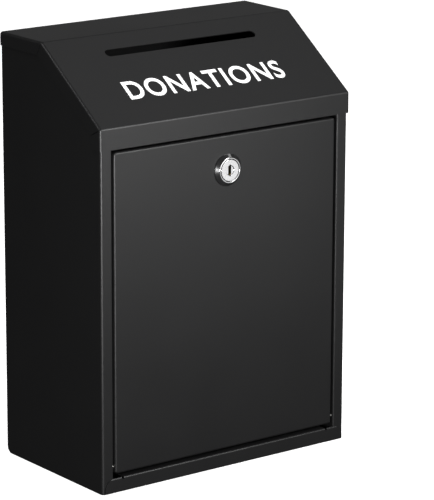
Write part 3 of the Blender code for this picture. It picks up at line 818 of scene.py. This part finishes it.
# %% Cam and its screw
def make_cam():
    """An arm from hub to tip, along -X: two rods and the block between, pressed as one."""
    low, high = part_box("cam_latch")
    hub, tip = high.z - lock_axis.z, 6 * MM
    tip_x = low.x + tip
    lean = math.asin((hub - tip) / -tip_x)
    front, back = low.y, high.y
    arm = block("cam", (tip_x, front, lock_axis.z - hub), (0, back, lock_axis.z + hub))
    inner_x, inner_z = hub * math.sin(lean), hub * math.cos(lean)
    for side in (-1, 1):
        pick(arm, "VERT", lambda p: near(p.x, tip_x) and (p.z - lock_axis.z) * side > 0)
        bpy.ops.transform.translate(value=(-tip * math.sin(lean), 0,
                                           side * (tip * math.cos(lean) - hub)))
        pick(arm, "VERT", lambda p: near(p.x, 0) and (p.z - lock_axis.z) * side > 0)
        bpy.ops.transform.translate(value=(-inner_x, 0, side * (inner_z - hub)))
    ends = [rod("hub", (0, front, lock_axis.z), (0, back, lock_axis.z), hub, 96),
            rod("tip", (tip_x, front, lock_axis.z), (tip_x, back, lock_axis.z), tip, 96)]
    cut(arm, *ends, operation="UNION")
    hole = SHANK + CLEAR
    cut(arm, block("square", (-hole, front - MM, lock_axis.z - hole),
                   (hole, back + MM, lock_axis.z + hole)))
    modify(arm, "BEVEL", limit_method="ANGLE", angle_limit=math.radians(50), width=0.25 * MM,
           segments=3, use_clamp_overlap=False)
    return arm


cam = smooth(make_cam())


def make_screw():
    low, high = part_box("cam_screw")
    start, top = low.y - lock_axis.y, high.y - lock_axis.y
    head = top - 2.6 * MM
    thread = []
    along = start + 0.6 * MM
    while along + 0.7 * MM < head - 0.2 * MM:
        thread += [(1.9 * MM, along), (1.55 * MM, along + 0.35 * MM)]
        along += 0.7 * MM
    rings = [(1.0 * MM, start), (1.55 * MM, start + 0.25 * MM), *thread, (1.9 * MM, head - 0.1 * MM),
             (1.9 * MM, head), (3.85 * MM, head), (4.0 * MM, head + 0.15 * MM),
             (4.0 * MM, head + 0.9 * MM), (3.85 * MM, head + 1.35 * MM),
             (3.4 * MM, head + 1.85 * MM), (2.7 * MM, head + 2.25 * MM),
             (1.9 * MM, head + 2.48 * MM), (0.9 * MM, top)]
    screw = turned("screw", rings, lock_axis, "Y", 64)
    centre = Vector((0, high.y, lock_axis.z))
    for wide, tall in ((2.2, 0.5), (0.5, 2.2)):
        cut(screw, block("cross", centre - Vector((wide * MM, 1.5 * MM, tall * MM)),
                         centre + Vector((wide * MM, MM, tall * MM))))
    return screw


screw = smooth(make_screw(), 40)
print("cam:", len(cam.data.polygons), "screw:", len(screw.data.polygons), "faces")

# %% [markdown]
# ## The printed word
# The slope carries one plain white word that says what the box is for, printed on the paint. A
# text object gives the letters; made fuller with an offset and a hair thick, they become a mesh
# before they are laid on the slope, because a text object can't be placed in its own mesh.

# %% Printed word
WORD_LEFT, WORD_RIGHT = -70 * MM, 67 * MM
WORD_TOP, WORD_BOTTOM = 46.4 * MM, 63.8 * MM      # down the slope from the upper fold
INK = 0.06 * MM


def make_word(letters):
    alone(None)
    bpy.ops.object.text_add()
    text = bpy.context.object
    text.data.body = letters
    text.data.space_character = 1.12
    text.data.offset = 0.018
    text.data.extrude = 0.02
    text.data.resolution_u = 6
    bpy.ops.object.convert(target="MESH")
    word = settle(bpy.context.object, "printed_word")
    corners = [vert.co for vert in word.data.vertices]
    low = Vector([min(corner[axis] for corner in corners) for axis in range(3)])
    high = Vector([max(corner[axis] for corner in corners) for axis in range(3)])
    size = high - low
    wanted = (WORD_RIGHT - WORD_LEFT, WORD_BOTTOM - WORD_TOP, 2 * INK)
    word.scale = [new / old for new, old in zip(wanted, size)]
    word.location = [-(a + b) / 2 * scale for a, b, scale in zip(low, high, word.scale)]
    settle(word, "printed_word")
    middle = slope_top + slope_along * (WORD_TOP + WORD_BOTTOM) / 2
    middle.x = (WORD_LEFT + WORD_RIGHT) / 2
    return tilted(word, middle, slope_turn)


word = make_word("DONATIONS")
bpy.ops.object.mode_set(mode="EDIT")
bpy.ops.mesh.select_all(action="SELECT")
bpy.ops.mesh.remove_doubles(threshold=1e-6)
alone(word)
print("word:", len(word.data.polygons), "faces")

# %% [markdown]
# ## Shader maths as plain sums
# A finish is a small network of nodes. `Value` wraps the output of a node, so that maths on it is
# written as ordinary sums, and each sum adds its Math node. `Finish.node` adds any other node.

# %% Finish tools
class Value:
    def __init__(self, finish, socket):
        self.finish, self.socket = finish, socket

    def maths(self, operation, first, second):
        return self.finish.node("ShaderNodeMath", {"operation": operation}, {0: first, 1: second})

    def __add__(self, other):
        return self.maths("ADD", self, other)

    def __mul__(self, other):
        return self.maths("MULTIPLY", self, other)

    def __sub__(self, other):
        return self.maths("SUBTRACT", self, other)

    def __rsub__(self, other):
        return self.maths("SUBTRACT", other, self)

    __radd__, __rmul__ = __add__, __mul__


class Finish:
    """A material with a Principled BSDF, whose constants are set on the shader's own sockets."""

    def __init__(self, name, **constants):
        self.material = bpy.data.materials.new(name)
        self.material.use_nodes = True
        self.nodes = self.material.node_tree.nodes
        self.shader = self.nodes["Principled BSDF"]
        for socket, value in constants.items():
            self.shader.inputs[socket.replace("_", " ").title().replace("Ior", "IOR")
                               ].default_value = value
        self.place = self.node("ShaderNodeTexCoord", output="Object")

    def node(self, kind, settings=None, inputs=None, output=0):
        node = self.nodes.new(kind)
        for name, value in (settings or {}).items():
            setattr(node, name, value)
        self.plug(node, inputs or {})
        return Value(self, node.outputs[output])

    def plug(self, node, inputs):
        for name, value in inputs.items():
            if isinstance(value, Value):
                self.material.node_tree.links.new(value.socket, node.inputs[name])
            else:
                node.inputs[name].default_value = value

    def noise(self, size, detail=2.0, stretch=None):
        """Noise from 0 to 1 whose grain is this many metres across."""
        place = self.place
        if stretch:
            place = self.node("ShaderNodeMapping", {}, {"Vector": place, "Scale": stretch})
        return self.node("ShaderNodeTexNoise", {"noise_dimensions": "3D"},
                         {"Vector": place, "Scale": 1 / size, "Detail": detail})

    def between(self, low, high, amount):
        """A colour between two others."""
        return self.node("ShaderNodeMix", {"data_type": "RGBA"},
                         {"Factor": amount, "A": (*low, 1), "B": (*high, 1)}, "Result")

    def ramp(self, amount, low, high):
        """From 0 to 1 while the amount goes from low to high."""
        return self.node("ShaderNodeMapRange", {"clamp": True},
                         {"Value": amount, "From Min": low, "From Max": high})

    def surface(self, **inputs):
        self.plug(self.shader, {name.replace("_", " ").title(): value
                                for name, value in inputs.items()})

    def bumps(self, height, depth, strength=1.0):
        """Raise the surface by the height, at most this many metres."""
        self.surface(normal=self.node("ShaderNodeBump", {}, {
            "Height": height, "Distance": depth, "Strength": strength}))


# %% [markdown]
# ## Black powder coat
# Powder coat is paint that was baked from dust. It is a satin black with a faint orange-peel
# skin, a few grains per centimetre, and a gloss that drifts a little from place to place. A
# second, finer noise is the grain of the powder. The door is coated in the same way but keeps
# its own material slot, because boxes of this kind are sold with doors in another colour.

# %% Powder coat
def powder_coat(name, tone=1.0):
    coat = Finish(name, metallic=0.0, ior=1.5)
    peel = coat.noise(2.4 * MM, 1.5)
    grain = coat.noise(0.35 * MM, 2.0)
    drift = coat.noise(60 * MM, 3.0)
    speck = coat.ramp(coat.noise(1.1 * MM, 3.0), 0.66, 0.74)
    shade = drift * 0.6 + grain * 0.4
    dark = [tone * part for part in (0.0055, 0.0055, 0.0057)]
    light = [tone * part for part in (0.0085, 0.0085, 0.0087)]
    coat.surface(base_color=coat.between(dark, light, shade),
                 roughness=0.36 + drift * 0.06 + grain * 0.05 + speck * 0.04)
    coat.bumps(peel * 0.8 + grain * 0.2, 0.012 * MM)
    return coat.material


black = powder_coat("powder_coat")
door_black = powder_coat("door_powder_coat")
print("coats:", black.name, door_black.name)

# %% [markdown]
# ## Chrome, zinc, brass and ink
# Chrome mirrors a good half of the light; what makes it look real is the faint haze of turning
# marks. Zinc plate is duller and cloudy, with a yellow and blue cast from its passivation. The
# flat tumblers are stamped brass. The ink is a matt white that the paint's skin shows through.

# %% Metals and ink
def chrome_plate():
    chrome = Finish("chrome", metallic=1.0)
    haze = chrome.noise(1.2 * MM, 3.0)
    marks = chrome.noise(0.2 * MM, 2.0, (0.25, 1.0, 1.0))
    chrome.surface(base_color=chrome.between((0.50, 0.50, 0.51), (0.62, 0.62, 0.62), haze),
                   roughness=0.10 + haze * 0.05 + marks * 0.04)
    chrome.bumps(marks, 0.001 * MM)
    return chrome.material


def zinc_plating():
    zinc = Finish("zinc_plate", metallic=1.0)
    cloud = zinc.noise(3 * MM, 3.0)
    grain = zinc.noise(0.15 * MM, 2.0)
    zinc.surface(base_color=zinc.between((0.50, 0.52, 0.54), (0.66, 0.64, 0.58), cloud),
                 roughness=0.26 + cloud * 0.12 + grain * 0.08)
    zinc.bumps(grain, 0.004 * MM)
    return zinc.material


def stamped_brass():
    metal = Finish("brass", metallic=1.0)
    tarnish = metal.noise(1.5 * MM, 3.0)
    metal.surface(base_color=metal.between((0.55, 0.38, 0.14), (0.78, 0.60, 0.28), tarnish),
                  roughness=0.24 + tarnish * 0.16)
    return metal.material


def white_ink():
    ink = Finish("white_ink", metallic=0.0)
    thin = ink.noise(0.8 * MM, 3.0)
    ink.surface(base_color=ink.between((0.80, 0.80, 0.80), (0.90, 0.90, 0.90), thin),
                roughness=0.42 + thin * 0.12)
    ink.bumps(thin, 0.01 * MM)
    return ink.material


chrome, zinc, brass_finish, ink = chrome_plate(), zinc_plating(), stamped_brass(), white_ink()
print("finishes:", chrome.name, zinc.name, brass_finish.name, ink.name)

# %% [markdown]
# ## Putting it together
# Every new piece is given its finish and rides on the body that it belongs to, and the pieces of
# the design that it stands for are hidden. The tumblers and the small washers are right as they are
# and only need their finish.

# %% Assembly
PIECES = [
    (hood, "cabinet", ["hood"], "powder_coat", black),
    (left_side, "cabinet", ["left_side_panel"], "powder_coat", black),
    (right_side, "cabinet", ["right_side_panel"], "powder_coat", black),
    (strip, "cabinet", ["back_and_floor"], "powder_coat", black),
    (header, "cabinet", ["door_header"], "powder_coat", black),
    (pins[0], "cabinet", ["hinge_pin_left"], "zinc_plate", zinc),
    (pins[1], "cabinet", ["hinge_pin_right"], "zinc_plate", zinc),
    (word, "cabinet", [], None, ink),
    (door, "door", ["door_panel"], "door_powder_coat", door_black),
    (lock_body, "door", ["lock_housing"], "chrome", chrome),
    (toothed_washer, "door", ["lock_washer"], "zinc_plate", zinc),
    (nut, "door", ["lock_nut"], "zinc_plate", zinc),
    (plug, "lock_core", ["lock_plug"], "chrome", chrome),
    (cam, "lock_core", ["cam_latch"], "zinc_plate", zinc),
    (screw, "lock_core", ["cam_screw"], "zinc_plate", zinc),
]
for piece, body, nodes, slot, finish in PIECES:
    piece.data.materials.clear()
    piece.data.materials.append(finish)
    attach(piece, body)
    if nodes:
        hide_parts(*nodes)

KEPT = {"stop_washer": zinc, "cam_washer": zinc,
        **{f"wafer_{index}": brass_finish for index in range(1, 6)}}
for name, finish in KEPT.items():
    for material_slot in frame["nodes"][name].material_slots:
        material_slot.material = finish
print("made", len(PIECES), "pieces, kept", len(KEPT))

# %% [markdown]
# ## Floor and light
# A pale floor runs far enough to fill the view. Black paint shows its shape only by what it
# mirrors, so the light is built for reflections: a wash over the floor that the gloss doesn't see,
# a low panel on the front right that the door and the lip mirror, a small card below it for the
# lock's face, and a narrow strip on the front left that draws the bright line down the upright fold.
# Weaker cards above and behind lift the slope, the top and the far edges off the black.

# %% Floor
scene = bpy.context.scene
scene.view_settings.view_transform = "Standard"
scene.view_settings.look = "None"


def make_floor():
    alone(None)
    bpy.ops.mesh.primitive_plane_add(size=24, location=(0, 0, -0.4 * MM))
    floor = settle(bpy.context.object, "floor")
    paper = Finish("paper", roughness=0.9)
    paper.surface(base_color=paper.between((0.86, 0.86, 0.86), (0.88, 0.88, 0.88),
                                           paper.noise(0.05)))
    paper.shader.inputs["Specular IOR Level"].default_value = 0
    paper.shader.inputs["Emission Color"].default_value = (1, 1, 1, 1)
    paper.shader.inputs["Emission Strength"].default_value = 0.68
    floor.data.materials.append(paper.material)
    floor.visible_glossy = False
    floor.visible_diffuse = False
    return floor


floor = make_floor()

print("floor:", floor.name, "at", floor.location.z)

# %% [markdown]
# Each light is a flat panel that faces the box. A panel is given its watts, so a small one is much
# brighter to look into than a large one of the same power, and that is what gloss shows.

# %% Lights
def panel(name, place, aim, size, power, seen=True):
    """A soft panel light at a place, facing a point. Power is in watts."""
    light = bpy.data.lights.new(name, "AREA")
    light.shape, light.size, light.size_y = "RECTANGLE", size[0], size[1]
    light.energy = power
    lamp = bpy.data.objects.new(name, light)
    lamp.location = place
    lamp.rotation_euler = (Vector(place) - Vector(aim)).to_track_quat("Z", "Y").to_euler()
    lamp.visible_camera = False
    lamp.visible_glossy = seen
    scene.collection.objects.link(lamp)
    return lamp


panel("floor_wash", (0.0, -0.3, 3.0), (0, -0.3, 0), (3, 3), 95, seen=False)
panel("low_card", (0.18, -0.66, 0.29), (0.0, -0.06, 0.22), (0.38, 0.38), 1.5)
panel("lock_card", (0.46, -0.66, 0.03), (0, -0.06, 0.22), (0.16, 0.16), 0.12)
panel("edge_key", (0.33, -0.86, 0.62), (-0.05, -0.06, 0.25), (0.35, 0.3), 5.0)
panel("fold_strip", (-0.56, -0.66, 0.16), (-0.1, -0.06, 0.16), (0.1, 0.2), 6.0)
panel("overhead_card", (0.55, 0.0, 1.3), (0, 0, 0.3), (0.7, 0.8), 0.8)
panel("rear_card", (0.9, 1.1, 0.7), (0, 0, 0.3), (1.0, 0.6), 0.25)
panel("upper_left_strip", (-0.75, 0.3, 1.1), (-0.1, 0, 0.3), (0.5, 0.15), 1.9)

world = bpy.data.worlds.new("studio")
scene.world = world
world.use_nodes = True
sky = world.node_tree.nodes["Background"]
sky.inputs["Color"].default_value = (1, 1, 1, 1)
sky.inputs["Strength"].default_value = 0.04
print("lights:", len(bpy.data.lights), "sky:", world.name)
